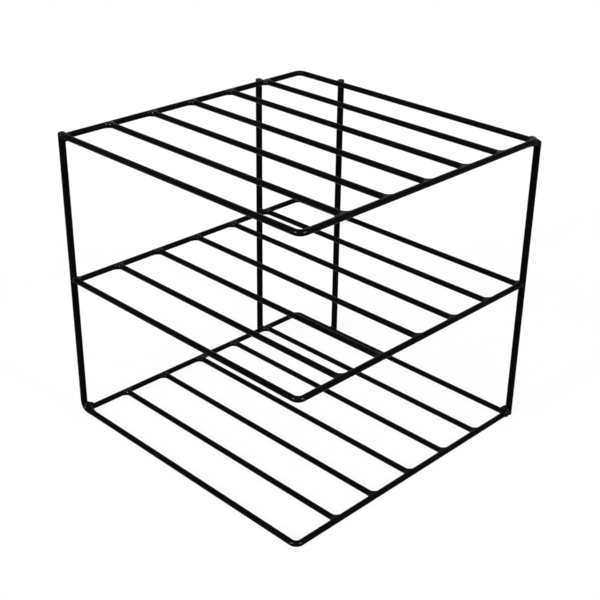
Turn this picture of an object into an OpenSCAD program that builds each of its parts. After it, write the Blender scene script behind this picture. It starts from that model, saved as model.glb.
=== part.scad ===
// Kitchen corner shelf: a rack of powder-coated round steel wire, with three square
// shelves one above the other. It stands in the corner of a worktop or a cupboard
// and carries plates.
//
// +Z is up and the rack stands on z = 0. One wall is on the -X side and the other
// on the +Y side, so the back corner is at -X +Y and the open corner at +X -Y.
// Every joint is a weld. The ends of the wires are shaped to the wires that they
// meet, and each piece stays a solid of its own.

/* [Shelves] */
// Width of a shelf along each wall, between the centre lines of its edge wires
shelf_w = 242; // [180:1:320]
// Height from one shelf to the next
shelf_pitch = 116.7; // [80:0.1:160]
// Number of cross wires in each shelf
cross_count = 5; // [3:1:7]

/* [Wires] */
// Diameter of the edge wires, over the coat
edge_wire_d = 4.5; // [4.5:0.1:5.5]
// Diameter of the cross wires, over the coat
cross_wire_d = 4.4; // [3.4:0.1:4.4]
// Diameter of the posts, over the coat
post_d = 5.4; // [4.6:0.1:7.2]
// Radius of the shelves' round corners, to the centre line of the wire
corner_bend_r = 5; // [4:0.1:12]

/* [Posts] */
// Distance from a corner post out of the corner of the shelves, between centre lines
post_outset = 3.4; // [2:0.1:6]
// Radius of the bend at the left post's foot, to the centre line of the wire
foot_bend_r = 6.5; // [4:0.1:12]
// Radius of the bend at the right post's head, to the centre line of the wire
head_bend_r = 4; // [4:0.1:12]
// Straight length after the bend of a corner post
post_toe = 3; // [1:0.1:20]
// Height that the left post's cut end stands above the top shelf
post_proud = 0; // [0:0.1:10]
// Slope of the left post's cut end, down toward the open side
cut_slope = 10; // [0:1:30]
// Distance from the back corner to a back post, along the wall
back_post_inset = 44; // [20:1:80]

/* [Welds] */
// Hollow radius of the welds at the ends of the cross wires
cross_weld_r = 5; // [3:0.1:9]
// Hollow radius of the welds at the ends of the back wires
corner_weld_r = 3; // [2:0.1:5]
// Depth that the edge of a weld lies below the surface of its wire
weld_bite = 0.2; // [0.1:0.05:0.4]
// Height that a weld stays below the top of the edge wire
weld_shoulder = 0.3; // [0.1:0.05:0.6]
// Depth that a back post and an edge wire are pressed into each other
lap_depth = 0.4; // [0.1:0.05:0.8]
// Depth that a back wire's square-cut end reaches into the side of the wire it meets
tip_depth = 0.6; // [0.3:0.05:1]
// Bevel round the square-cut end of a post
cut_bevel = 0.4; // [0.1:0.05:1]

/* [Hidden] */
$fn = 48;
coat = "#18181a";

LEVELS = ["bottom", "middle", "top"];
BOTTOM = 0;
MIDDLE = 1;
TOP = 2;

CROSS_WIRES = [for (level = LEVELS, place = [1:cross_count]) str(level, "_cross_wire_", place)];

// Half the width of a shelf: its edge wires run at x and y of plus and minus this
half_w = shelf_w / 2;
cross_step = shelf_w / (cross_count + 1);
edge_wire_r = edge_wire_d / 2;
post_r = post_d / 2;
weld_h = edge_wire_d - 2 * weld_shoulder;

// Heights
rack_top = TOP * shelf_pitch + edge_wire_d;
left_post_top = rack_top + post_proud;
toe_z = post_r;
function level_z(level) = edge_wire_r + level * shelf_pitch;

// Centre lines of the posts
post_line = half_w + post_outset;
foot_end = post_line - foot_bend_r - post_toe;
head_end = post_line - head_bend_r - post_toe;
lap_line = half_w + edge_wire_r + post_r - lap_depth;
back_post_place = half_w - back_post_inset;

// The rack reaches further on the wall sides, so it is moved to stand over the origin
wall_reach = max(lap_line, post_line) + post_r;
front_reach = half_w + max(post_r, edge_wire_r);
centre_shift = (wall_reach - front_reach) / 2;

// Straight wire along +Z from the origin, its far end bevelled where it is cut
module straight_wire(length, d, bevel = 0) {
    cylinder(h = length - bevel, d = d);
    if (bevel > 0)
        translate([0, 0, length - bevel])
            cylinder(h = bevel, d1 = d, d2 = d - 2 * bevel);
}

// Wire with one square bend. The legs' centre lines cross at the origin, and the legs
// run along -X and +Y. The bevel is on the end of the second leg.
module bent_wire(d, bend_r, leg_x, leg_y, bevel = 0) {
    translate([-bend_r, 0, 0])
        rotate([0, -90, 0])
            straight_wire(leg_x - bend_r, d);
    translate([-bend_r, bend_r, 0])
        rotate([0, 0, -90])
            rotate_extrude(angle = 90)
                translate([bend_r, 0])
                    circle(d = d);
    translate([0, bend_r, 0])
        rotate([-90, 0, 0])
            straight_wire(leg_y - bend_r, d, bevel);
}

// Hollow weld round the end of a wire that runs along +Z to its seat, a wire across it
// whose centre line is the Y axis. The weld fades out on both wires. It is flat above
// and below, and it can be left off on the -Y side.
module weld_flare(wire_d, seat_d, weld_r, tip = 0, both_sides = true) {
    seat_r = seat_d / 2;
    hollow_y = wire_d / 2 + weld_r - weld_bite;
    hollow_z = sqrt(seat_r * seat_r - weld_h * weld_h / 4) + weld_r - weld_bite;
    intersection() {
        rotate_extrude()
            difference() {
                translate([0, -hollow_z])
                    square([hollow_y, hollow_z - tip]);
                translate([hollow_y, -hollow_z])
                    circle(r = weld_r);
            }
        translate([-weld_h / 2, both_sides ? -hollow_y : 0, -hollow_z])
            cube([weld_h, both_sides ? 2 * hollow_y : hollow_y, hollow_z]);
    }
}

// Straight length of edge wire along Y through the place where a wire meets it
module edge_seat(length) {
    rotate([90, 0, 0])
        cylinder(h = length, d = edge_wire_d, center = true);
}

// Corner post that stands at the left: its foot is bent along the front edge
module left_post_wire() {
    translate([-post_line, -half_w, toe_z])
        rotate([90, 0, 180])
            bent_wire(post_d, foot_bend_r, post_line - foot_end, left_post_top - toe_z);
}

// Space over the sloping cut of the left post, which is highest on the +Y side
module left_post_cut() {
    translate([-post_line, post_r - half_w, left_post_top])
        rotate([cut_slope, 0, 0])
            translate([-post_d, -2 * post_d, 0])
                cube([2 * post_d, 3 * post_d, post_d]);
}

// Corner post that stands at the right: its top is bent along the front edge
module right_post_wire() {
    translate([half_w, post_line, rack_top - toe_z])
        rotate([-90, 0, 90])
            bent_wire(post_d, head_bend_r, post_line - head_end, rack_top - toe_z, cut_bevel);
}

// Front edge wire before its ends are shaped to the posts. The ends that meet a
// post's toe stop flat against it.
module front_wire(level) {
    left_end = level == BOTTOM ? foot_end : post_line;
    right_end = level == TOP ? head_end : post_line;
    translate([half_w, -half_w, level_z(level)])
        bent_wire(edge_wire_d, corner_bend_r, half_w + left_end, half_w + right_end);
}

module shaped_front_wire(level) {
    difference() {
        front_wire(level);
        left_post_wire();
        right_post_wire();
    }
}

// Back edge wire with the welds at its two ends, on the side of the shelf
module back_wire(level) {
    z = level_z(level);
    left_seat_d = level == BOTTOM ? post_d : edge_wire_d;
    right_seat_d = level == TOP ? post_d : edge_wire_d;
    left_tip = left_seat_d / 2 - tip_depth;
    right_tip = right_seat_d / 2 - tip_depth;
    translate([-half_w, half_w, z])
        rotate([0, 0, 180])
            bent_wire(edge_wire_d, corner_bend_r, shelf_w - right_tip, shelf_w - left_tip);
    translate([-half_w, -half_w, z])
        rotate([90, 90, 0])
            weld_flare(edge_wire_d, left_seat_d, corner_weld_r, left_tip, false);
    translate([half_w, half_w, z])
        rotate([180, -90, 0])
            weld_flare(edge_wire_d, right_seat_d, corner_weld_r, right_tip, false);
}

// Lines of the posts' toes carried on past their ends, under the welds of the back wires
module toe_lines() {
    line_l = edge_wire_d + corner_weld_r;
    translate([-foot_end, -half_w, toe_z])
        rotate([0, 90, 0])
            cylinder(h = line_l, d = post_d);
    translate([half_w, head_end, rack_top - toe_z])
        rotate([90, 0, 0])
            cylinder(h = line_l, d = post_d);
}

module shaped_back_wire(level) {
    difference() {
        back_wire(level);
        front_wire(level);
        left_post_wire();
        right_post_wire();
        toe_lines();
    }
}

// Cross wire from the left wall edge to the right front edge, counted from the front
module cross_wire(level, place) {
    seat_l = 2 * (cross_wire_d + 2 * cross_weld_r);
    translate([0, place * cross_step - half_w, level_z(level)])
        difference() {
            union() {
                rotate([0, 90, 0])
                    cylinder(h = shelf_w, d = cross_wire_d, center = true);
                for (turn = [0, 180])
                    rotate([0, 0, turn])
                        translate([half_w, 0, 0])
                            rotate([0, 90, 0])
                                weld_flare(cross_wire_d, edge_wire_d, cross_weld_r);
            }
            for (side = [-1, 1])
                translate([side * half_w, 0, 0])
                    edge_seat(seat_l);
        }
}

// Back post before it is pressed onto the edge wires, at x = 0 with the wires at +X
module back_post_wire() {
    translate([0, 0, rack_top / 2]) {
        straight_wire(rack_top / 2, post_d, cut_bevel);
        mirror([0, 0, 1])
            straight_wire(rack_top / 2, post_d, cut_bevel);
    }
}

module lapped_back_post() {
    difference() {
        back_post_wire();
        for (level = [BOTTOM, MIDDLE, TOP])
            translate([lap_line - half_w, 0, level_z(level)])
                edge_seat(2 * post_d);
    }
}

// Moves the rack to stand over the origin, and colours it
module placed() {
    color(coat)
        translate([centre_shift, -centre_shift, 0])
            children();
}

module left_post() {
    placed()
        difference() {
            left_post_wire();
            left_post_cut();
        }
}

module right_post() {
    placed() right_post_wire();
}

module back_post_left() {
    placed()
        translate([-lap_line, back_post_place, 0])
            lapped_back_post();
}

module back_post_right() {
    placed()
        translate([-back_post_place, lap_line, 0])
            rotate([0, 0, -90])
                lapped_back_post();
}

module bottom_front_wire() {
    placed() shaped_front_wire(BOTTOM);
}

module middle_front_wire() {
    placed() shaped_front_wire(MIDDLE);
}

module top_front_wire() {
    placed() shaped_front_wire(TOP);
}

module bottom_back_wire() {
    placed() shaped_back_wire(BOTTOM);
}

module middle_back_wire() {
    placed() shaped_back_wire(MIDDLE);
}

module top_back_wire() {
    placed() shaped_back_wire(TOP);
}

left_post();
right_post();
back_post_left();
back_post_right();
bottom_front_wire();
middle_front_wire();
top_front_wire();
bottom_back_wire();
middle_back_wire();
top_back_wire();
for (level = [BOTTOM, MIDDLE, TOP], place = [1:cross_count])
    placed() cross_wire(level, place);
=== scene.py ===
"""Kitchen corner shelf of powder-coated steel wire, dressed for its picture.

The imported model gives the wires. This script adds the weld metal at every joint, the
black powder coat, a pale studio floor, soft lamps and the camera.
"""

import logging
import math
from dataclasses import dataclass
from enum import Enum
from typing import Any, Optional, Sequence

import bpy
import numpy as np
from mathutils import Matrix, Vector


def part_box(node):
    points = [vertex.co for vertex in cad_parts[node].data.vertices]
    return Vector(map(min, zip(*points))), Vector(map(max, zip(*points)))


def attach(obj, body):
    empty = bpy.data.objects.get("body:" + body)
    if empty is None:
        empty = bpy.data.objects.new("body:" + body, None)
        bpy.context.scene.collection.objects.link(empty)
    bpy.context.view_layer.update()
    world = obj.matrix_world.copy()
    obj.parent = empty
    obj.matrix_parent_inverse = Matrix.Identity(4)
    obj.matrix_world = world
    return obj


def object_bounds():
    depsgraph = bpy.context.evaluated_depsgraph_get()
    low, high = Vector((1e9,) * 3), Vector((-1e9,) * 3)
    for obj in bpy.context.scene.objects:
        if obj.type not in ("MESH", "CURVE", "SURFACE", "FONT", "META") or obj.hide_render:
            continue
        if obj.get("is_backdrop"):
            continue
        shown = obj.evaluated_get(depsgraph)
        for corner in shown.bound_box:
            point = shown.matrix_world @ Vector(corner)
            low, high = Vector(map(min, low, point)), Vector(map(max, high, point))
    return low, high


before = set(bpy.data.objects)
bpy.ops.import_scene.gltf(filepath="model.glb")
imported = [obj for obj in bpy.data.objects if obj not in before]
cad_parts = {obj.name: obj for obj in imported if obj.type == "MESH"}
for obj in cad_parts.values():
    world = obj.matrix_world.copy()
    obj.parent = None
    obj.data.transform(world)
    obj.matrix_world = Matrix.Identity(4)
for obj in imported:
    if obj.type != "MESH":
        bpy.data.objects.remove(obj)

LOG = logging.getLogger("corner_shelf")

MM = 0.001
BODY = "root"
WHITE = "#ffffff"

# Weld metal stays this far inside the planes that bound the rack, in millimetres
CLEARANCE = 0.03
# Further from a joint than any weld reaches, in millimetres, so it limits nothing
OPEN = 99.0
# Least number that a distance is divided by
TINY = 1e-6
# Number of the colour among a mix node's outputs
MIXED_COLOUR = 2

Triple = tuple[float, float, float]


class Side(Enum):
    """The two corner posts, as seen from the open corner."""

    LEFT = "left"
    RIGHT = "right"


class Level(Enum):
    """The three shelves."""

    BOTTOM = "bottom"
    MIDDLE = "middle"
    TOP = "top"


class Bend(Enum):
    """How a corner post passes a shelf."""

    STRAIGHT = "straight"
    FOOT = "foot"
    HEAD = "head"


def linear(hex_colour: str) -> tuple[float, float, float, float]:
    """Turns an sRGB hex colour into a linear RGBA colour.

    Args:
        hex_colour: colour such as "#1c1c1e".

    Returns:
        Red, green, blue and alpha, each from 0 to 1.
    """
    channels = [int(hex_colour[i:i + 2], 16) / 255 for i in (1, 3, 5)]
    values = [c / 12.92 if c <= 0.04045 else ((c + 0.055) / 1.055) ** 2.4 for c in channels]
    return values[0], values[1], values[2], 1.0


def add_node(
    material: Any, kind: str, settings: Optional[dict[str, Any]] = None,
    inputs: Sequence[Any] = (), **sockets: Any,
) -> bpy.types.Node:
    """Adds one node with its settings, its socket values and its links.

    For an input, an output socket is a link and anything else is the input's own value.

    Args:
        material: material or world that holds the node tree.
        kind: type name of the node, such as "ShaderNodeBump".
        settings: properties of the node, by name.
        inputs: inputs from the first on, for a node whose inputs share a name.
        sockets: inputs by name, with _ for a space.

    Returns:
        The new node.
    """
    tree = material.node_tree
    node = tree.nodes.new(kind)
    for name, value in (settings or {}).items():
        setattr(node, name, value)
    values = list(zip(node.inputs, inputs))
    for name, value in sockets.items():
        wanted = name.replace("_", " ").lower()
        socket = next(s for s in node.inputs if s.name.lower() == wanted and s.enabled)
        values.append((socket, value))
    for socket, value in values:
        if isinstance(value, bpy.types.NodeSocket):
            tree.links.new(value, socket)
        else:
            socket.default_value = value
    return node


def seen_share(material: Any) -> bpy.types.NodeSocket:
    """Adds nodes that tell rays that show a surface from rays that only light others.

    Args:
        material: material or world that holds the node tree.

    Returns:
        Output that is 1 for rays from the camera, gloss or glass, and 0 for others.
    """
    rays = add_node(material, "ShaderNodeLightPath").outputs
    seen = rays["Is Camera Ray"]
    for ray in ("Is Glossy Ray", "Is Transmission Ray"):
        larger = add_node(material, "ShaderNodeMath", {"operation": "MAXIMUM"}, (seen, rays[ray]))
        seen = larger.outputs[0]
    return seen


@dataclass(frozen=True)
class PowderCoat:
    """Black polyester powder coat, sprayed on drawn steel wire and baked.

    The powder melts into a satin film about 0.08 mm thick. The film keeps a slight
    orange peel, with a few nibs where a grain didn't melt flat. The cloud range is the
    part of the noise over which the film goes from thick to thin, and the nib share is
    a nib's radius as a share of the distance between nibs.
    """

    name: str
    colour: str = "#030303"
    thin_colour: str = "#050506"
    roughness: float = 0.25
    roughness_spread: float = 0.1
    specular_level: float = 0.014
    ior: float = 1.5
    cloud_mm: float = 38.0
    cloud_detail: float = 3.0
    cloud_range: tuple[float, float] = (0.35, 0.7)
    peel_mm: float = 1.9
    peel_detail: float = 2.0
    peel_height_mm: float = 0.05
    grain_mm: float = 0.7
    grain_detail: float = 4.0
    grain_height_mm: float = 0.014
    nib_mm: float = 5.0
    nib_share: float = 0.07
    nib_height_mm: float = 0.06

    def material(self) -> bpy.types.Material:
        """Makes the node material.

        Returns:
            The finished material.
        """
        coat = bpy.data.materials.new(self.name)
        coat.use_nodes = True
        coat.node_tree.nodes.clear()
        place = add_node(coat, "ShaderNodeTexCoord").outputs["Object"]

        # Real grain is about 0.1 mm, too fine to show here, so it is drawn coarser
        cloud, peel, grain = (
            add_node(coat, "ShaderNodeTexNoise", Vector=place, Scale=1 / (size * MM), Detail=detail)
            for size, detail in (
                (self.cloud_mm, self.cloud_detail),
                (self.peel_mm, self.peel_detail),
                (self.grain_mm, self.grain_detail),
            )
        )
        # The film is thicker and darker in some places than in others, over a few centimetres
        thin = add_node(
            coat, "ShaderNodeMapRange",
            Value=cloud.outputs["Fac"], From_Min=self.cloud_range[0], From_Max=self.cloud_range[1],
            To_Min=0.0, To_Max=1.0,
        )
        tone = add_node(
            coat, "ShaderNodeMix", {"data_type": "RGBA"},
            Factor=thin.outputs["Result"], A=linear(self.colour), B=linear(self.thin_colour),
        )
        # The grain scatters the gloss a little from place to place
        gloss = add_node(
            coat, "ShaderNodeMath", {"operation": "MULTIPLY_ADD"},
            (
                grain.outputs["Fac"],
                self.roughness_spread,
                self.roughness - self.roughness_spread / 2,
            ),
        )
        spots = add_node(
            coat, "ShaderNodeTexVoronoi", Vector=place, Scale=1 / (self.nib_mm * MM), Randomness=1.0
        )
        nibs = add_node(
            coat, "ShaderNodeMapRange", {"interpolation_type": "SMOOTHSTEP"},
            Value=spots.outputs["Distance"], From_Min=self.nib_share, From_Max=0.0,
            To_Min=0.0, To_Max=1.0,
        )
        # The peel bends the gleams, and the grain and the nibs stand on it
        surface: dict[str, Any] = {}
        for height_mm, height in (
            (self.peel_height_mm, peel.outputs["Fac"]),
            (self.grain_height_mm, grain.outputs["Fac"]),
            (self.nib_height_mm, nibs.outputs["Result"]),
        ):
            bump = add_node(
                coat, "ShaderNodeBump",
                Strength=1.0, Distance=height_mm * MM, Height=height, **surface,
            )
            surface = {"Normal": bump.outputs["Normal"]}
        shader = add_node(
            coat, "ShaderNodeBsdfPrincipled",
            Base_Color=tone.outputs[MIXED_COLOUR], Roughness=gloss.outputs[0],
            IOR=self.ior, Specular_IOR_Level=self.specular_level, **surface,
        )
        add_node(coat, "ShaderNodeOutputMaterial", Surface=shader.outputs["BSDF"])
        return coat


WIRE_COAT = PowderCoat("powder_coated_steel_satin_black")

# Weld metal is lumpy and takes more powder, so its film peels more and gleams more
WELD_COAT = PowderCoat(
    "powder_coated_weld_satin_black", colour="#040405", roughness=0.21, specular_level=0.024,
    peel_mm=1.7, peel_height_mm=0.17, grain_height_mm=0.02,
)


@dataclass(frozen=True)
class StudioPaper:
    """Matt white background paper, lit until it is plain white and only a shadow shows."""

    name: str = "white_background_paper"
    colour: str = "#f4f4f4"
    shadow_share: float = 0.14

    def material(self) -> bpy.types.Material:
        """Makes the node material.

        Returns:
            The finished material.
        """
        paper = bpy.data.materials.new(self.name)
        paper.use_nodes = True
        paper.node_tree.nodes.clear()
        glow_share = add_node(
            paper, "ShaderNodeMath", {"operation": "MULTIPLY"},
            (seen_share(paper), 1 - self.shadow_share),
        )
        matt = add_node(paper, "ShaderNodeBsdfDiffuse", Color=linear(self.colour))
        glow = add_node(paper, "ShaderNodeEmission", Color=linear(WHITE), Strength=1.0)
        mixed = add_node(
            paper, "ShaderNodeMixShader",
            inputs=(glow_share.outputs[0], matt.outputs["BSDF"], glow.outputs["Emission"]),
        )
        add_node(paper, "ShaderNodeOutputMaterial", Surface=mixed.outputs["Shader"])
        return paper


def node_box(node: str) -> tuple[np.ndarray, np.ndarray]:
    """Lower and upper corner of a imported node's box, in millimetres."""
    low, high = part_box(node)
    return np.array(low) / MM, np.array(high) / MM


def upper_face(node: str, least_rise: float = 0.7, depth_mm: float = 3.0) -> tuple[float, ...]:
    """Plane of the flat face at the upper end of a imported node.

    Args:
        node: name of the node.
        least_rise: least upward part of the face's unit normal.
        depth_mm: how far the face's middle may lie under the highest one.

    Returns:
        The plane's unit normal, then its distance from the origin in millimetres.
    """
    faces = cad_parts[node].data.polygons
    upward = [face for face in faces if face.normal.z > least_rise]
    top = max(face.center.z for face in upward)
    near_top = [face for face in upward if face.center.z > top - depth_mm * MM]
    face = max(near_top, key=lambda face: face.area)
    return (*face.normal, face.normal.dot(face.center) / MM)


@dataclass(frozen=True)
class WireFrame:
    """Centre lines and thicknesses of the wires in millimetres, read from the frame.

    The post offset is the distance between the centre lines of a corner post and of
    the back wires. The foot's and the head's end are where the posts' bent toes end,
    measured along the front wire from the centre line of the back wires.
    """

    edge_r: float
    cross_r: float
    post_r: float
    left_x: float
    right_x: float
    front_y: float
    wall_y: float
    post_offset: float
    foot_end: float
    head_end: float
    left_post_top: float
    left_cut: tuple[float, ...]
    levels: dict[Level, float]
    cross_places: tuple[float, ...]
    top: float

    @classmethod
    def from_frame(cls, cross_count: int) -> "WireFrame":
        """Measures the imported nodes.

        Args:
            cross_count: number of cross wires in a shelf.

        Returns:
            The measured frame.
        """
        def middle(node: str, axis: int) -> float:
            """Middle of a node's box along one axis, in millimetres."""
            low, high = node_box(node)
            return (low[axis] + high[axis]) / 2

        left_low, left_high = node_box("left_post")
        right_low, _ = node_box("right_post")
        front_low, front_high = node_box("middle_front_wire")
        back_low, back_high = node_box("middle_back_wire")
        cross_low, cross_high = node_box("middle_cross_wire_1")
        edge_r = (front_high[2] - front_low[2]) / 2
        post_r = (left_high[1] - left_low[1]) / 2
        left_x = back_low[0] + edge_r
        wall_y = back_high[1] - edge_r
        crosses = [f"middle_cross_wire_{place}" for place in range(1, cross_count + 1)]
        return cls(
            edge_r=edge_r,
            cross_r=(cross_high[2] - cross_low[2]) / 2,
            post_r=post_r,
            left_x=left_x,
            right_x=front_high[0] - edge_r,
            front_y=front_low[1] + edge_r,
            wall_y=wall_y,
            post_offset=left_x - (left_low[0] + post_r),
            foot_end=left_high[0] - left_x,
            head_end=wall_y - right_low[1],
            left_post_top=left_high[2],
            left_cut=upper_face("left_post"),
            levels={level: middle(f"{level.value}_front_wire", 2) for level in Level},
            cross_places=tuple(middle(cross, 1) for cross in crosses),
            top=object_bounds()[1][2] / MM,
        )


def ramp(values: np.ndarray, start: float, length: float) -> np.ndarray:
    """Rises evenly from 0 at a start to 1 one length further on."""
    return np.clip((values - start) / length, 0, 1)


def rounded(side: np.ndarray, top: np.ndarray, edge: float) -> np.ndarray:
    """Distance from a solid whose side and top, given by distances, meet in a rounded edge."""
    a, b = side + edge, top + edge
    return np.minimum(np.maximum(a, b), 0) + np.hypot(np.maximum(a, 0), np.maximum(b, 0)) - edge


def join(first: np.ndarray, second: np.ndarray, blend: float) -> np.ndarray:
    """Smooth union of two distances, with a hollow between them that is as wide as the blend."""
    share = np.clip(0.5 + 0.5 * (second - first) / blend, 0, 1)
    return second + (first - second) * share - blend * share * (1 - share)


def beside_line(
    points: np.ndarray, start: Sequence[float], end: Sequence[float]
) -> tuple[np.ndarray, np.ndarray, float]:
    """Places points beside a straight line.

    Args:
        points: the points.
        start: the line's start.
        end: the line's end.

    Returns:
        How far points lie along the line, how far away from it, and the line's length.
    """
    origin = np.array(start, float)
    along = np.array(end, float) - origin
    length = float(np.linalg.norm(along))
    direction = along / length
    offset = points - origin
    travel = offset @ direction
    return travel, np.linalg.norm(offset - travel[:, None] * direction, axis=1), length


class Shape:
    """Solid in a joint's own axes, in millimetres."""

    def distance(self, points: np.ndarray) -> np.ndarray:
        """Distance of points from the solid's surface.

        Args:
            points: the points, one in a row.

        Returns:
            A distance for each point, negative inside the solid.
        """
        raise NotImplementedError


@dataclass(frozen=True)
class Rod(Shape):
    """Round bar from start to end, with flat ends and slightly rounded edges."""

    start: Triple
    end: Triple
    radius: float
    edge: float = 0.3

    def distance(self, points: np.ndarray) -> np.ndarray:
        """Distance of points from the bar."""
        travel, away, length = beside_line(points, self.start, self.end)
        return rounded(away - self.radius, np.abs(travel - length / 2) - length / 2, self.edge)


@dataclass(frozen=True)
class Taper(Shape):
    """Round bar that goes smoothly from one radius at its start to another at its end."""

    start: Triple
    end: Triple
    start_r: float
    end_r: float

    def distance(self, points: np.ndarray) -> np.ndarray:
        """Distance of points from the bar, nearly true close to it.

        Args:
            points: the points, one in a row.

        Returns:
            A distance for each point, negative inside.
        """
        travel, away, length = beside_line(points, self.start, self.end)
        share = ramp(travel, 0, length)
        share = share * share * (3 - 2 * share)
        radius = self.start_r + (self.end_r - self.start_r) * share
        return np.maximum(away - radius, np.maximum(-travel, travel - length))


@dataclass(frozen=True)
class BentRod(Shape):
    """Quarter bend of round wire with a straight leg at each end.

    The legs' centre lines cross at the corner and leave it in the first and the second
    direction. The bend's radius is that of its centre line.
    """

    corner: Triple
    first: Triple
    second: Triple
    bend_r: float
    leg: float
    radius: float

    def distance(self, points: np.ndarray) -> np.ndarray:
        """Distance of points from the wire.

        Args:
            points: the points, one in a row.

        Returns:
            A distance for each point, negative inside.
        """
        u, v = (np.array(value, float) for value in (self.first, self.second))
        offset = points - (np.array(self.corner, float) + (u + v) * self.bend_r)
        a, b = offset @ u, offset @ v
        ring = np.hypot(np.minimum(a, 0), np.minimum(b, 0)) - self.bend_r
        side = np.hypot(ring, offset @ np.cross(u, v)) - self.radius
        return np.maximum.reduce([side, a - self.leg, b - self.leg])


@dataclass(frozen=True)
class Drop(Shape):
    """Egg-shaped drop of weld metal, by its centre and its half sizes."""

    centre: Triple
    radii: Triple

    def distance(self, points: np.ndarray) -> np.ndarray:
        """Distance of points from the drop, nearly true close to it.

        Args:
            points: the points, one in a row.

        Returns:
            A distance for each point, negative inside.
        """
        offset = points - np.array(self.centre, float)
        radii = np.array(self.radii, float)
        near = np.linalg.norm(offset / radii, axis=1)
        slope = np.linalg.norm(offset / radii ** 2, axis=1)
        return near * (near - 1) / np.maximum(slope, TINY)


@dataclass(frozen=True)
class Bead(Rod):
    """Slanting bead of weld metal with round ends."""

    radius: float = 1.6
    edge: float = 1.6


@dataclass(frozen=True)
class Web(Shape):
    """Hollow weld between a wire along +X and a seat along Y, which meet at the origin.

    The height is half the weld's own. Its upper and lower edges are rounded, and its
    hollow ends at the hidden depth under the wires' surface. From there it sinks into
    the wires with the slope of the fall, over the run-out. One side means that there
    is weld only on the +Y side.
    """

    wire_r: float
    seat_r: float
    hollow_r: float
    height: float
    one_side: bool = False
    edge: float = 0.75
    hidden: float = 0.15
    fall: float = 0.4
    run_out: float = 2.0

    def distance(self, points: np.ndarray) -> np.ndarray:
        """Distance of points from the weld.

        Args:
            points: the points, one in a row.

        Returns:
            A distance for each point, negative inside.
        """
        x, y, z = points.T
        hollow_r = self.hollow_r
        seat = math.sqrt(max(self.seat_r ** 2 - (self.height - self.hidden) ** 2, 0.0))
        from_middle = x - (seat - self.hidden + hollow_r)
        from_ring = np.hypot(y, z) - (self.wire_r - self.hidden + hollow_r)
        hollow = hollow_r - np.hypot(np.minimum(from_middle, 0), np.minimum(from_ring, 0))
        past = np.maximum(from_middle, 0) + np.maximum(from_ring, 0)
        side = np.maximum.reduce([hollow + self.fall * past, -x, past - self.run_out])
        if self.one_side:
            side = np.maximum(side, -y)
        return rounded(side, np.abs(z) - self.height, self.edge)


@dataclass(frozen=True)
class Turned(Shape):
    """Another shape with its X and Y exchanged."""

    shape: Shape

    def distance(self, points: np.ndarray) -> np.ndarray:
        """Distance of points from the turned shape."""
        return self.shape.distance(points[:, [1, 0, 2]])


@dataclass(frozen=True)
class Either(Shape):
    """Several shapes as one, with no hollow between them."""

    shapes: tuple[Shape, ...]

    def distance(self, points: np.ndarray) -> np.ndarray:
        """Distance of points from the nearest of the shapes."""
        return np.minimum.reduce([shape.distance(points) for shape in self.shapes])


@dataclass
class Ripple:
    """Smooth random unevenness of weld metal, as a sum of waves.

    The sum is damped, lifted by the mean and cut off at 0 and at the highest. All
    three are shares of the ripple's height.
    """

    seed: int
    shortest_mm: float
    longest_mm: float
    height_mm: float
    waves: int = 14
    damping: float = 2.4
    mean: float = 0.5
    highest: float = 1.2

    def __post_init__(self) -> None:
        """Draws the waves from the seed."""
        source = np.random.default_rng(self.seed)
        direction = source.normal(size=(self.waves, 3))
        direction /= np.linalg.norm(direction, axis=1)[:, None]
        length = source.uniform(self.shortest_mm, self.longest_mm, self.waves)
        self._steps = direction * (2 * math.pi / length)[:, None]
        self._starts = source.uniform(0, 2 * math.pi, self.waves)

    def share(self, points: np.ndarray) -> np.ndarray:
        """Share of the ripple's height at points."""
        waves = np.sin(points @ self._steps.T + self._starts).sum(axis=1)
        return np.clip(self.mean + waves / math.sqrt(self.waves) / self.damping, 0, self.highest)


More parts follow.
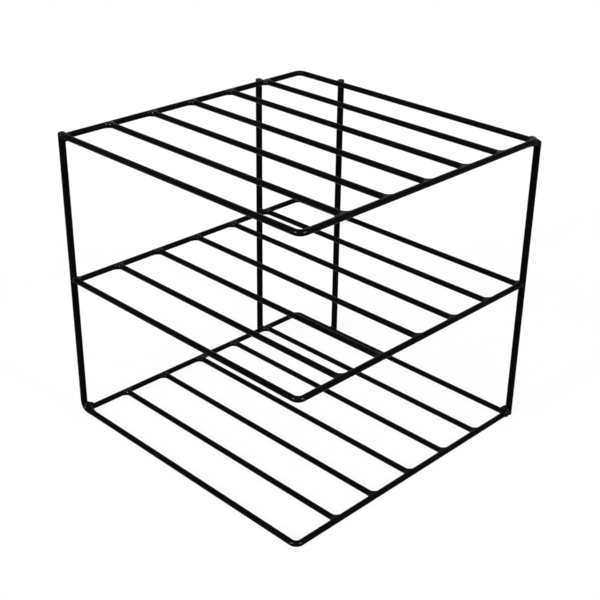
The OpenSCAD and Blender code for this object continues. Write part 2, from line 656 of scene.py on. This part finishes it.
@dataclass
class WeldShape(Shape):
    """One lump of weld metal round a joint, in the joint's own axes in millimetres.

    The axes start at the joint, which has a height over the floor. The wires are
    repeated a little thinner than they are, so that the weld comes out of them only
    where there is weld metal. There is none under the floor, above the top, before
    the face at -Y or past the cut, which is a plane's unit normal and distance.

    The saddle is the width of a wider hollow between the first and the last wire. It
    comes in over a stretch of Z and one of Y, each given by its start and length. The
    ripple comes in over a depth of metal on the wires. The mesh is settled onto the
    surface in passes, by the slope that shows over the probe's length.
    """

    wires: list[Shape]
    fills: list[Shape]
    wire_blend: float
    fill_blend: float
    ripple: Ripple
    half_size: Triple
    middle: Triple
    height: float
    top: float
    face: float = OPEN
    cut: Optional[tuple[float, ...]] = None
    limit_blend: float = 0.4
    saddle: float = 0.0
    saddle_z: tuple[float, float] = (-0.4, 2.0)
    saddle_y: tuple[float, float] = (0.6, 1.6)
    ripple_depth: float = 0.4
    probe: float = 0.02
    passes: int = 2
    least_slope: float = 0.5

    def distance(self, points: np.ndarray) -> np.ndarray:
        """Distance of points from the weld.

        Args:
            points: the points, one in a row.

        Returns:
            A distance for each point, negative inside.
        """
        wires = [wire.distance(points) for wire in self.wires]
        bare = np.minimum.reduce(wires)
        whole = wires[0]
        for other in wires[1:]:
            whole = join(whole, other, self.wire_blend)
        if self.saddle > 0:
            raised = join(wires[0], wires[-1], self.saddle)
            above = ramp(points[:, 2], *self.saddle_z) * ramp(points[:, 1], *self.saddle_y)
            whole = np.minimum(whole, bare + (raised - bare) * above)
        for fill in self.fills:
            whole = join(whole, fill.distance(points), self.fill_blend)
        proud = ramp(bare - whole, 0, self.ripple_depth)
        whole = whole - proud * self.ripple.height_mm * self.ripple.share(points)
        low = np.array((-OPEN, -self.face, CLEARANCE - self.height))
        high = np.array((OPEN, OPEN, self.top - CLEARANCE - self.height))
        over = np.max(np.maximum(low - points, points - high), axis=1)
        whole = -join(-whole, -over, self.limit_blend)
        if self.cut is not None:
            whole = np.maximum(whole, points @ np.array(self.cut[:3]) - self.cut[3])
        return whole

    def mesh_data(self, step: float) -> tuple[np.ndarray, np.ndarray]:
        """Surface of the weld as corners and four-sided faces.

        Args:
            step: size of a cell of the grid that it is cut from, in millimetres.

        Returns:
            Corner positions and the corner numbers of each face.
        """
        half = np.array(self.half_size)
        counts = np.ceil(2 * half / step).astype(int) + 1
        axes = [m - h + step * np.arange(n) for m, h, n in zip(self.middle, half, counts)]
        grid = np.stack(np.meshgrid(*axes, indexing="ij"), axis=-1)
        values = self.distance(grid.reshape(-1, 3)).reshape(grid.shape[:3])
        corners, faces = surface_from_grid(values)
        corners = corners * step + np.array([a[0] for a in axes])
        return self._settled(corners, step), faces

    def _settled(self, corners: np.ndarray, step: float) -> np.ndarray:
        """Moves corners onto the surface, along its slope.

        Args:
            corners: positions near the surface.
            step: size of a grid cell. A pass moves a corner by half of it at most.

        Returns:
            Positions on the surface.
        """
        for _ in range(self.passes):
            value = self.distance(corners)
            probes = [self.distance(corners + self.probe * axis) for axis in np.eye(3)]
            slope = np.stack([(probe - value) / self.probe for probe in probes], axis=1)
            size = np.maximum((slope ** 2).sum(axis=1), self.least_slope ** 2)
            move = -slope * (value / size)[:, None]
            corners = corners + np.clip(move, -step / 2, step / 2)
        return corners


def cells_beside(
    lines: np.ndarray, across: Sequence[int], back: Sequence[int]
) -> tuple[np.ndarray, ...]:
    """Cells that touch some lines of a grid, which all run along one axis.

    Args:
        lines: grid numbers of the lines' first points.
        across: the two other axes.
        back: number of cells to go back along each of them, 0 or 1.

    Returns:
        The cells' grid numbers, one array for each axis.
    """
    cells = lines.copy()
    for axis, steps in zip(across, back):
        cells[:, axis] -= steps
    return tuple(cells.T)


def surface_from_grid(values: np.ndarray) -> tuple[np.ndarray, np.ndarray]:
    """Surface where a grid of distances passes zero.

    Each cell that the surface passes gets one corner, and each grid line that it
    crosses gets one face between the four cells round it.

    Args:
        values: distances at the points of a regular grid.

    Returns:
        Corners in grid steps, and the corner numbers of each face.
    """
    inside = values < 0
    cells = tuple(n - 1 for n in values.shape)
    total = np.zeros(cells + (3,))
    count = np.zeros(cells)
    crossings = []
    for axis in range(3):
        near = [slice(None)] * 3
        far = [slice(None)] * 3
        near[axis] = slice(None, -1)
        far[axis] = slice(1, None)
        low, high = values[tuple(near)], values[tuple(far)]
        lines = np.argwhere(inside[tuple(near)] != inside[tuple(far)])
        place = tuple(lines.T)
        point = lines.astype(float)
        point[:, axis] += low[place] / (low[place] - high[place])
        across = [a for a in range(3) if a != axis]
        within = [(lines[:, a] > 0) & (lines[:, a] < values.shape[a] - 1) for a in across]
        keep = np.all(within, axis=0)
        lines, point = lines[keep], point[keep]
        rising = inside[tuple(near)][tuple(lines.T)]
        crossings.append((axis, across, lines, rising))
        for back in np.ndindex(2, 2):
            touched = cells_beside(lines, across, back)
            np.add.at(total, touched, point)
            np.add.at(count, touched, 1)
    used = count > 0
    number = np.full(cells, -1)
    number[used] = np.arange(used.sum())
    corners = total[used] / count[used][:, None]
    # Steps back to the four cells round a grid line, in the order of a face's corners
    round_line = ((1, 1), (0, 1), (0, 0), (1, 0))
    faces = []
    for axis, across, lines, rising in crossings:
        quads = np.stack([number[cells_beside(lines, across, back)] for back in round_line], axis=1)
        # They run the other way round the middle axis than round the first and the last
        flip = rising if axis == 1 else ~rising
        quads[flip] = quads[flip][:, ::-1]
        faces.append(quads)
    return corners, np.concatenate(faces)


@dataclass(kw_only=True)
class WeldedWires:
    """Wires of the rack with the weld metal at their joints, in millimetres.

    Inside a weld, the wires are thinner than they are by the sink, and the web in the
    corner between two wires is lower than they are by the web drop. The reach is the
    length of wire that a weld takes in, and the room is what its grid has beyond it.
    """

    wires: WireFrame
    wire_coat: bpy.types.Material
    weld_coat: bpy.types.Material
    sink: float = 0.06
    web_drop: float = 0.08
    reach: float
    room: Triple
    fill_blend: float
    ripple_mm: float
    ripple_lengths: tuple[float, float]
    step: float

    def build(self) -> list[bpy.types.Object]:
        """Coats the wires and welds their joints."""
        raise NotImplementedError

    def dress(self, name: str) -> bpy.types.Object:
        """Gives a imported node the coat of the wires.

        Args:
            name: name of the node.

        Returns:
            The node's object.
        """
        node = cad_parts[name]
        for index in range(len(node.data.materials)):
            node.data.materials[index] = self.wire_coat
        return node

    def weld(
        self, name: str, shape: WeldShape, axes: np.ndarray, origin: Sequence[float]
    ) -> bpy.types.Object:
        """Makes a weld's object from its shape and puts it at its joint.

        Args:
            name: name of the piece.
            shape: the weld in the joint's own axes.
            axes: the joint's three axes as rows.
            origin: place of the joint.

        Returns:
            The new object, riding with the rack.
        """
        corners, faces = shape.mesh_data(self.step)
        placed = (corners @ axes + np.array(origin, float)) * MM
        if np.linalg.det(axes) < 0:
            faces = faces[:, ::-1]
        mesh = bpy.data.meshes.new(name)
        mesh.from_pydata(placed.tolist(), [], faces.tolist())
        mesh.validate()
        mesh.shade_smooth()
        mesh.materials.append(self.weld_coat)
        piece = bpy.data.objects.new(name, mesh)
        bpy.context.scene.collection.objects.link(piece)
        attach(piece, BODY)
        return piece

    def ripple(self, seed: int) -> Ripple:
        """Unevenness of one of these welds."""
        return Ripple(seed, *self.ripple_lengths, self.ripple_mm)


@dataclass(kw_only=True)
class Shelf(WeldedWires):
    """One square shelf: a front wire, a back wire and the cross wires between them."""

    level: Level
    hollow_r: float = 5.0
    hollow_spread: float = 0.6
    reach: float = 9.5
    room: Triple = (1.5, 0.6, 0.9)
    wire_blend: float = 0.9
    fill_blend: float = 0.5
    ripple_mm: float = 0.13
    ripple_lengths: tuple[float, float] = (2.2, 6.0)
    step: float = 0.42

    def build(self) -> list[bpy.types.Object]:
        """Coats the shelf's wires and welds its cross wires.

        Returns:
            The coated wires and the new welds.
        """
        level = self.level.value
        pieces = [self.dress(f"{level}_{part}") for part in ("front_wire", "back_wire")]
        ends = (("wall", self.wires.left_x, 1.0), ("front", self.wires.right_x, -1.0))
        for place, y in enumerate(self.wires.cross_places, start=1):
            pieces.append(self.dress(f"{level}_cross_wire_{place}"))
            for end, x, inward in ends:
                name = f"{level}_cross_weld_{place}_{end}"
                axes = np.diag((inward, inward, 1.0))
                origin = (x, y, self.wires.levels[self.level])
                pieces.append(self.weld(name, self._cross_weld(name), axes, origin))
        return pieces

    def _cross_weld(self, name: str) -> WeldShape:
        """Weld at the end of a cross wire, which runs along +X from the joint.

        Args:
            name: name of the piece, from which its small differences come.

        Returns:
            The shape of the weld.
        """
        seed = sum(ord(letter) * place for place, letter in enumerate(name, start=1))
        source = np.random.default_rng(seed)
        hollow_r = self.hollow_r + source.uniform(0, self.hollow_spread)
        edge_r = self.wires.edge_r
        cross_r = self.wires.cross_r
        reach = self.reach
        end_room, side_room, top_room = self.room
        return WeldShape(
            wires=[
                Rod((0, -reach, 0), (0, reach, 0), edge_r - self.sink),
                Rod((0, 0, 0), (reach, 0, 0), cross_r - self.sink),
            ],
            fills=[Web(cross_r, edge_r, hollow_r, edge_r - self.web_drop)],
            wire_blend=self.wire_blend,
            fill_blend=self.fill_blend,
            ripple=self.ripple(seed),
            half_size=((reach + edge_r + end_room) / 2, reach + side_room, edge_r + top_room),
            middle=((reach - edge_r) / 2, 0.0, 0.0),
            height=self.wires.levels[self.level],
            top=self.wires.top,
        )


@dataclass(frozen=True)
class CornerMetal:
    """Weld metal of one corner joint, placed as it lies on the real one.

    Places are in the joint's own axes, in millimetres. The wire blend is the width of
    the hollow between the wires, and the saddle that of a wider one above it.
    """

    seed: int
    lumps: tuple[Shape, ...]
    wire_blend: float = 1.2
    saddle: float = 0.0


CORNER_METAL = {
    (Side.LEFT, Level.BOTTOM): CornerMetal(
        seed=43,
        lumps=(
            Drop((0.6, 2.6, 0.6), (1.9, 1.8, 1.5)),
            Drop((-1.4, 3.0, 1.3), (1.8, 2.6, 1.9)),
            Bead((-2.6, 1.6, 3.7), (-0.2, 6.8, 1.3)),
        ),
        saddle=4.5,
    ),
    (Side.LEFT, Level.MIDDLE): CornerMetal(
        seed=50,
        lumps=(
            Drop((-0.2, -1.2, -0.4), (1.7, 1.3, 1.8)),
            Drop((1.0, 1.3, 0.7), (1.9, 1.4, 1.5)),
            Drop((-1.6, 2.7, 0.5), (1.4, 2.2, 1.5)),
        ),
    ),
    (Side.LEFT, Level.TOP): CornerMetal(
        seed=57,
        lumps=(
            Drop((0.9, 1.5, 0.7), (1.9, 1.6, 1.5)),
            Drop((-0.3, 1.2, -2.9), (1.5, 1.5, 1.6)),
        ),
        wire_blend=0.7,
    ),
    (Side.RIGHT, Level.BOTTOM): CornerMetal(
        seed=40,
        lumps=(
            Drop((-1.2, 0.6, 2.3), (1.5, 1.9, 1.7)),
            Drop((-1.5, 2.6, 2.2), (1.6, 2.4, 2.0)),
            Drop((0.1, -1.0, 1.2), (1.5, 1.3, 1.5)),
            Drop((1.7, 1.4, 0.8), (1.8, 1.5, 1.5)),
            Drop((0.8, -1.2, -0.9), (2.8, 1.7, 1.4)),
            Bead((-2.2, 1.7, 4.7), (-0.8, 5.2, 0.8)),
        ),
        saddle=4.5,
    ),
    (Side.RIGHT, Level.MIDDLE): CornerMetal(
        seed=47,
        lumps=(
            Drop((0.2, -1.1, 0.8), (1.4, 1.3, 1.6)),
            Drop((1.3, 1.5, 0.7), (2.0, 1.5, 1.5)),
            Drop((-1.5, 2.8, 0.7), (1.4, 2.3, 1.6)),
        ),
    ),
    (Side.RIGHT, Level.TOP): CornerMetal(
        seed=54,
        lumps=(
            Drop((0.7, 2.9, 0.6), (2.0, 2.2, 1.6)),
            Drop((-2.3, 3.9, 0.5), (2.3, 3.3, 1.9)),
            Drop((1.6, -1.3, 0.8), (1.3, 1.2, 1.2)),
            Drop((-0.9, -1.5, -0.9), (1.1, 1.0, 1.2)),
            Drop((-3.1, -0.7, -2.0), (2.6, 1.9, 2.3)),
        ),
        wire_blend=0.7,
    ),
}


@dataclass(kw_only=True)
class CornerPost(WeldedWires):
    """Corner post with its welds to the three shelves.

    In a joint's own axes X runs along the front wire away from the post, Y along the
    back wire away from the front wire, and Z is up. From a bent toe a taper leads to
    the front wire. It starts by the toe lap before the toe's end, thinner than the toe
    by the toe sink, and ends by the toe taper past it. The back room is what a weld's
    grid takes in behind the joint along X and Y.
    """

    side: Side
    foot_bend_r: float = 6.5
    head_bend_r: float = 4.0
    toe_lap: float = 1.0
    toe_sink: float = 0.02
    toe_taper: float = 6.0
    toe_room: float = 1.0
    web_r: float = 3.5
    reach: float = 12.0
    back_room: tuple[float, float] = (6.0, 3.0)
    room: Triple = (0.6, 0.6, 1.0)
    fill_blend: float = 0.9
    ripple_mm: float = 0.28
    ripple_lengths: tuple[float, float] = (1.6, 4.5)
    step: float = 0.32

    def build(self) -> list[bpy.types.Object]:
        """Coats the post and welds it to the shelves.

        Returns:
            The coated post and the new welds.
        """
        pieces = [self.dress(f"{self.side.value}_post")]
        wires = self.wires
        if self.side is Side.LEFT:
            axes = np.eye(3)
            x, y = wires.left_x, wires.front_y
        else:
            axes = np.array([[0, -1, 0], [-1, 0, 0], [0, 0, 1]], float)
            x, y = wires.right_x, wires.wall_y
        for level in Level:
            name = f"{level.value}_{self.side.value}_corner_weld"
            origin = (x, y, wires.levels[level])
            pieces.append(self.weld(name, self._corner_weld(level), axes, origin))
        return pieces

    def _bend(self, level: Level) -> Bend:
        """How this post passes a shelf."""
        bends = {(Side.LEFT, Level.BOTTOM): Bend.FOOT, (Side.RIGHT, Level.TOP): Bend.HEAD}
        return bends.get((self.side, level), Bend.STRAIGHT)

    def _toe_end(self, bend: Bend) -> float:
        """Distance from the back wire's centre line to the end of the post's bent toe."""
        return self.wires.foot_end if bend is Bend.FOOT else self.wires.head_end

    def _front_reach(self, bend: Bend) -> float:
        """How far along the front wire a weld is drawn, past any bent toe and its taper."""
        past_toe = self._toe_end(bend) + self.toe_taper + self.toe_room
        return self.reach if bend is Bend.STRAIGHT else max(self.reach, past_toe)

    def _run(self, level: Level, bend: Bend) -> list[Shape]:
        """The post and the front wire near a joint.

        Args:
            level: shelf of the joint.
            bend: how the post passes the shelf.

        Returns:
            The shapes of the two wires. A bent post and the front wire are one shape,
            because they run on into each other, with a taper from the thicker to the
            thinner wire.
        """
        wires = self.wires
        z = wires.levels[level]
        x = -wires.post_offset
        reach = self._front_reach(bend)
        post_r = wires.post_r - self.sink
        edge_r = wires.edge_r - self.sink
        if bend is Bend.STRAIGHT:
            top = wires.left_post_top if self.side is Side.LEFT else wires.top
            low = max(-self.reach, -z) + self.sink
            high = min(self.reach, top - z) - self.sink
            return [Rod((x, 0, low), (x, 0, high), post_r), Rod((x, 0, 0), (reach, 0, 0), edge_r)]
        up, bend_r = (1, self.foot_bend_r) if bend is Bend.FOOT else (-1, self.head_bend_r)
        toe_z = up * (wires.post_r - wires.edge_r)
        toe_end = self._toe_end(bend)
        leg = toe_end - x - bend_r
        return [Either((
            BentRod((x, 0, toe_z), (0, 0, up), (1, 0, 0), bend_r, leg, post_r),
            Rod((toe_end, 0, 0), (reach, 0, 0), edge_r),
            Taper(
                (toe_end - self.toe_lap, 0, toe_z), (toe_end + self.toe_taper, 0, 0),
                wires.post_r - self.toe_sink, edge_r,
            ),
        ))]

    def _cut(self, level: Level) -> Optional[tuple[float, ...]]:
        """Plane just under the sawn end of the left post, at the joint that it ends above.

        Args:
            level: shelf of the joint.

        Returns:
            The plane's unit normal and its distance from the joint, or None where the
            post runs on.
        """
        if self.side is Side.RIGHT or level is not Level.TOP:
            return None
        *normal, distance = self.wires.left_cut
        joint = (self.wires.left_x, self.wires.front_y, self.wires.levels[level])
        return (*normal, distance - float(np.dot(normal, joint)) - self.sink)

    def _corner_weld(self, level: Level) -> WeldShape:
        """Weld between the post, the front wire and the back wire.

        Args:
            level: shelf of the joint.

        Returns:
            The shape of the weld.
        """
        metal = CORNER_METAL[self.side, level]
        bend = self._bend(level)
        reach = self.reach
        front_reach = self._front_reach(bend)
        edge_r = self.wires.edge_r
        seat_r = edge_r if bend is Bend.STRAIGHT else self.wires.post_r
        web = Web(edge_r, seat_r, self.web_r, edge_r - self.web_drop, one_side=True)
        back_x, back_y = self.back_room
        room_x, room_y, room_z = self.room
        return WeldShape(
            wires=self._run(level, bend) + [Rod((0, 0, 0), (0, reach, 0), edge_r - self.sink)],
            fills=[Turned(web), *metal.lumps],
            wire_blend=metal.wire_blend,
            fill_blend=self.fill_blend,
            ripple=self.ripple(metal.seed),
            half_size=(
                (front_reach + back_x) / 2 + room_x, (reach + back_y) / 2 + room_y, reach + room_z
            ),
            middle=((front_reach - back_x) / 2, (reach - back_y) / 2, 0.0),
            height=self.wires.levels[level],
            top=self.wires.top,
            face=self.wires.post_r - CLEARANCE,
            cut=self._cut(level),
            saddle=metal.saddle,
        )


@dataclass(kw_only=True)
class BackPost(WeldedWires):
    """Back post, pressed and welded on the wall side of the three back wires.

    The post room is what a weld's grid takes in along X besides the gap between the
    centre lines of the two wires.
    """

    side: Side
    drop_radii: Triple = (1.2, 2.9, 2.3)
    reach: float = 5.5
    post_room: float = 6.5
    room: Triple = (0.4, 0.6, 0.6)
    wire_blend: float = 1.3
    fill_blend: float = 0.8
    ripple_mm: float = 0.18
    ripple_lengths: tuple[float, float] = (1.8, 4.0)
    first_seed: int = 70
    step: float = 0.36

    def build(self) -> list[bpy.types.Object]:
        """Coats the post and welds it to the shelves.

        Returns:
            The coated post and the new welds.
        """
        node = f"back_post_{self.side.value}"
        pieces = [self.dress(node)]
        wires = self.wires
        low, high = node_box(node)
        if self.side is Side.LEFT:
            gap = wires.left_x - (low[0] + wires.post_r)
            axes = np.eye(3)
            x, y = wires.left_x, (low[1] + high[1]) / 2
        else:
            gap = (high[1] - wires.post_r) - wires.wall_y
            axes = np.array([[0, -1, 0], [1, 0, 0], [0, 0, 1]], float)
            x, y = (low[0] + high[0]) / 2, wires.wall_y
        for seed, level in enumerate(Level, start=self.first_seed):
            name = f"{level.value}_{self.side.value}_back_weld"
            z = wires.levels[level]
            pieces.append(self.weld(name, self._lap_weld(gap, z, high[2], seed), axes, (x, y, z)))
        return pieces

    def _lap_weld(self, gap: float, z: float, post_top: float, seed: int) -> WeldShape:
        """Weld between the post and an edge wire that crosses it.

        Args:
            gap: distance between the two centre lines.
            z: height of the edge wire.
            post_top: height of the post's upper end.
            seed: seed of the weld's unevenness.

        Returns:
            The shape of the weld, with the edge wire along Y and the post at -X.
        """
        reach = self.reach
        low = max(-reach, -z) + self.sink
        high = min(reach, post_top - z) - self.sink
        room_x, room_y, room_z = self.room
        return WeldShape(
            wires=[
                Rod((-gap, 0, low), (-gap, 0, high), self.wires.post_r - self.sink),
                Rod((0, -reach, 0), (0, reach, 0), self.wires.edge_r - self.sink),
            ],
            fills=[Drop((-gap / 2, 0, 0), self.drop_radii)],
            wire_blend=self.wire_blend,
            fill_blend=self.fill_blend,
            ripple=self.ripple(seed),
            half_size=((gap + self.post_room) / 2 + room_x, reach + room_y, reach + room_z),
            middle=(-gap / 2, 0.0, 0.0),
            height=z,
            top=post_top,
        )


@dataclass(frozen=True)
class SoftLamp:
    """Distant softbox, placed by its turn from the camera's side and its height.

    Both are in degrees, as is the angle across it. A lamp for gloss only is a small
    bright panel that shows as a gleam in the coat and lights nothing else.
    """

    name: str
    turn_deg: float
    height_deg: float
    strength: float
    width_deg: float
    gloss_only: bool = False


def direction_to(azimuth_deg: float, elevation_deg: float) -> Vector:
    """Direction from the rack to a place round it.

    Args:
        azimuth_deg: turn round the rack from the -Y side towards +X.
        elevation_deg: height above the horizon.

    Returns:
        Unit vector.
    """
    turn = math.radians(azimuth_deg)
    rise = math.radians(elevation_deg)
    flat = math.cos(rise)
    return Vector((math.sin(turn) * flat, -math.cos(turn) * flat, math.sin(rise)))


@dataclass
class Studio:
    """Plain floor, soft lamps and camera.

    The camera stands at a distance from its aim, which is measured from the middle of
    the bottom shelf.
    """

    wires: WireFrame
    azimuth_deg: float = 44.6354
    elevation_deg: float = 27.0880
    roll_deg: float = 0.7463
    distance_mm: float = 904.95
    aim_mm: Triple = (1.0781, 1.0781, 101.9062)
    lens_mm: float = 69.8164
    sensor_mm: float = 36.0
    clip_start_m: float = 0.01
    clip_end_m: float = 100.0
    floor_size_m: float = 16.0
    world_fill: float = 0.32
    lamp_distance_m: float = 2.0
    lamps: tuple[SoftLamp, ...] = (
        SoftLamp("key_softbox", -8.0, 58.0, 0.5, 30.0),
        SoftLamp("left_softbox", -49.0, 26.0, 2.2, 7.0),
        SoftLamp("right_softbox", 49.0, 26.0, 2.2, 7.0),
        SoftLamp("back_softbox", 170.0, 50.0, 0.5, 30.0),
        SoftLamp("left_gleam", -49.0, 26.0, 26.0, 6.0, gloss_only=True),
        SoftLamp("right_gleam", 49.0, 26.0, 26.0, 6.0, gloss_only=True),
        SoftLamp("key_gleam", -8.0, 58.0, 0.5, 30.0, gloss_only=True),
    )

    def build(self) -> None:
        """Makes the floor, the world, the lamps and the camera."""
        self._floor()
        self._world()
        for lamp in self.lamps:
            self._hang(lamp)
        self._camera()
        bpy.context.scene.view_settings.view_transform = "Standard"

    def _floor(self) -> None:
        """Lays the background paper that the rack stands on."""
        half = self.floor_size_m / 2
        corners = [(x * half, y * half, 0.0) for x, y in ((-1, -1), (1, -1), (1, 1), (-1, 1))]
        mesh = bpy.data.meshes.new("studio_floor")
        mesh.from_pydata(corners, [], [(0, 1, 2, 3)])
        mesh.materials.append(StudioPaper().material())
        floor = bpy.data.objects.new("studio_floor", mesh)
        bpy.context.scene.collection.objects.link(floor)
        floor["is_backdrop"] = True

    def _world(self) -> None:
        """Sets a pale room, which is white where it is seen and soft where it lights."""
        world = bpy.data.worlds.new("pale_room")
        world.use_nodes = True
        world.node_tree.nodes.clear()
        bpy.context.scene.world = world
        strength = add_node(
            world, "ShaderNodeMapRange",
            Value=seen_share(world), From_Min=0.0, From_Max=1.0, To_Min=self.world_fill, To_Max=1.0,
        )
        room = add_node(
            world, "ShaderNodeBackground", Color=linear(WHITE), Strength=strength.outputs["Result"]
        )
        add_node(world, "ShaderNodeOutputWorld", Surface=room.outputs["Background"])

    def _hang(self, lamp: SoftLamp) -> None:
        """Hangs one lamp.

        Args:
            lamp: the lamp.
        """
        light = bpy.data.lights.new(lamp.name, "SUN")
        light.energy = lamp.strength
        light.angle = math.radians(lamp.width_deg)
        holder = bpy.data.objects.new(lamp.name, light)
        direction = direction_to(self.azimuth_deg + lamp.turn_deg, lamp.height_deg)
        holder.rotation_euler = direction.to_track_quat("Z", "Y").to_euler()
        holder.location = direction * self.lamp_distance_m
        holder.visible_diffuse = not lamp.gloss_only
        bpy.context.scene.collection.objects.link(holder)

    def _camera(self) -> None:
        """Sets the camera where the photograph was taken from."""
        back = direction_to(self.azimuth_deg, self.elevation_deg)
        turn = math.radians(self.azimuth_deg)
        right = Vector((math.cos(turn), math.sin(turn), 0))
        up = back.cross(right)
        roll = math.radians(self.roll_deg)
        rolled_right = right * math.cos(roll) + up * math.sin(roll)
        rolled_up = up * math.cos(roll) - right * math.sin(roll)
        middle = Vector((
            (self.wires.left_x + self.wires.right_x) / 2,
            (self.wires.front_y + self.wires.wall_y) / 2,
            self.wires.levels[Level.BOTTOM],
        ))
        place = (middle + Vector(self.aim_mm) + back * self.distance_mm) * MM
        lens = bpy.data.cameras.new("camera")
        lens.lens = self.lens_mm
        lens.sensor_width = self.sensor_mm
        lens.sensor_fit = "HORIZONTAL"
        lens.clip_start = self.clip_start_m
        lens.clip_end = self.clip_end_m
        camera = bpy.data.objects.new("camera", lens)
        turned = Matrix((rolled_right, rolled_up, back)).transposed().to_4x4()
        camera.matrix_world = Matrix.Translation(place) @ turned
        bpy.context.scene.collection.objects.link(camera)
        bpy.context.scene.camera = camera


def main(cross_count: int = 5) -> None:
    """Builds the rack's welds, coats its wires and sets up the studio.

    Args:
        cross_count: number of cross wires in a shelf.
    """
    logging.basicConfig(level=logging.INFO, format="%(name)s: %(message)s")
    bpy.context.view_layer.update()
    wires = WireFrame.from_frame(cross_count)
    shared = {
        "wires": wires,
        "wire_coat": WIRE_COAT.material(),
        "weld_coat": WELD_COAT.material(),
    }
    Studio(wires).build()
    parts: list[WeldedWires] = [Shelf(level=level, **shared) for level in Level]
    for side in Side:
        parts += [CornerPost(side=side, **shared), BackPost(side=side, **shared)]
    for part in parts:
        for piece in part.build():
            LOG.info("%s: %d faces", piece.name, len(piece.data.polygons))


if __name__ == "__main__":
    main()
